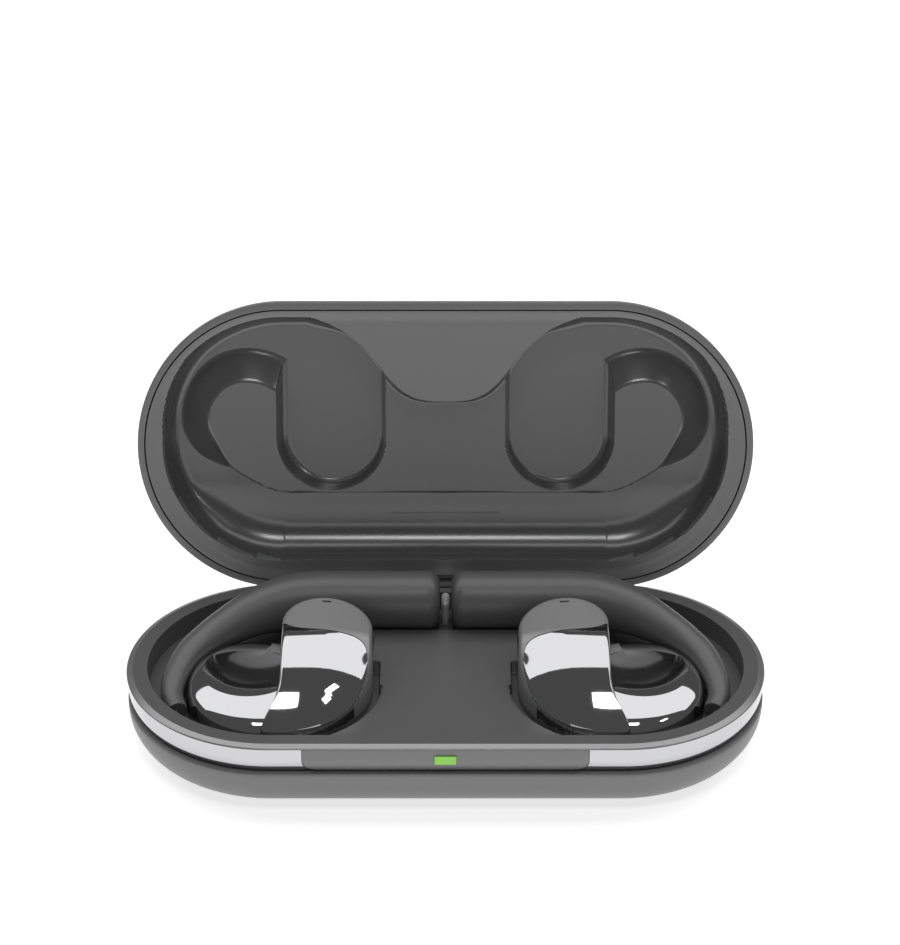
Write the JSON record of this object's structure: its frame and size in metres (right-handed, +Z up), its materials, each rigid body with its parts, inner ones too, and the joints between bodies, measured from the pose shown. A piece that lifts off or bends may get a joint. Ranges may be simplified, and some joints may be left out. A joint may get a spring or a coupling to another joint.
{
  "type": "open-ear hook earphones in a charging case",
  "caption": "Stadium-shaped clamshell charging case, lid open, holding a left and a right open-ear earphone with ear hooks.",
  "frame": {"origin": "centre of the flat resting face under the case", "axes": "+X along the case's length, -Y towards the front with the light, +Z up"},
  "size_m": [0.11, 0.0756, 0.0619],
  "materials": {
    "graphite_shell": "fine matte texture",
    "graphite_liner": "semi-gloss",
    "polished_metal": "mirror polish, dark tone",
    "soft_touch": "soft-touch silicone",
    "matte_cap": "satin",
    "green_light": "translucent, lit",
    "steel": "plain",
    "gold_contact": "gold plate",
    "board_green": "circuit board",
    "cell_wrap": "battery wrap",
    "black_plastic": "matte",
    "magnet_nickel": "nickel plate"
  },
  "bodies": {
    "case_base": {"base_shell": "graphite_shell", "waist_band": "polished_metal", "front_panel": "graphite_shell", "led_window": "green_light", "lip_ring": "graphite_shell", "tray": "graphite_liner", "hinge_plate": "steel", "hinge_screws": "steel", "hinge_pin": "steel", "case_battery": "cell_wrap", "main_board": "board_green", "usb_port": "steel", "led_board": "board_green", "button_switch": "board_green", "base_magnet_left": "magnet_nickel", "base_magnet_right": "magnet_nickel", "tray_magnet_left": "magnet_nickel", "tray_magnet_right": "magnet_nickel", "contact_block_left": "black_plastic", "contact_block_right": "black_plastic"},
    "lid": {"lid_shell": "graphite_shell", "lid_liner": "graphite_liner", "lid_hinge_cover": "graphite_liner", "hinge_arm": "steel", "lid_magnet_left": "magnet_nickel", "lid_magnet_right": "magnet_nickel"},
    "left_earbud": {"left_outer_shell": "polished_metal", "left_touch_cap": "matte_cap", "left_inner_housing": "matte_cap", "left_mic_mesh": "black_plastic", "left_speaker_grille": "black_plastic", "left_contacts": "gold_contact", "left_driver": "steel", "left_board": "board_green", "left_magnet": "magnet_nickel", "left_battery_barrel": "soft_touch", "left_battery_cell": "cell_wrap", "left_memory_wire": "steel", "left_hook_sleeve": "soft_touch"},
    "right_earbud": {"right_outer_shell": "polished_metal", "right_touch_cap": "matte_cap", "right_inner_housing": "matte_cap", "right_mic_mesh": "black_plastic", "right_speaker_grille": "black_plastic", "right_contacts": "gold_contact", "right_driver": "steel", "right_board": "board_green", "right_magnet": "magnet_nickel", "right_battery_barrel": "soft_touch", "right_battery_cell": "cell_wrap", "right_memory_wire": "steel", "right_hook_sleeve": "soft_touch"},
    "button": {"pairing_button": "polished_metal"},
    "left_pins": {"contact_pins_left": "gold_contact"},
    "right_pins": {"contact_pins_right": "gold_contact"}
  },
  "joints": [
    {"name": "lid_hinge", "type": "hinge", "parent": "case_base", "child": "lid", "pos_m": [0, 0.0255, 0.013], "axis": [1, 0, 0], "range_deg": [0, 106.8]},
    {"name": "left_lift", "type": "slide", "parent": "case_base", "child": "left_earbud", "axis": [0, 0, 1], "range_m": [0, 0.06]},
    {"name": "right_lift", "type": "slide", "parent": "case_base", "child": "right_earbud", "axis": [0, 0, 1], "range_m": [0, 0.06]},
    {"name": "button_press", "type": "slide", "parent": "case_base", "child": "button", "axis": [0, 0, 1], "range_m": [-0.00035, 0], "stiffness_N_per_m": 900, "springref_m": 0.0003},
    {"name": "left_pin_press", "type": "slide", "parent": "case_base", "child": "left_pins", "axis": [0, 0, 1], "range_m": [-0.0005, 0], "stiffness_N_per_m": 400, "springref_m": 0.0004},
    {"name": "right_pin_press", "type": "slide", "parent": "case_base", "child": "right_pins", "axis": [0, 0, 1], "range_m": [-0.0005, 0], "stiffness_N_per_m": 400, "springref_m": 0.0004}
  ]
}
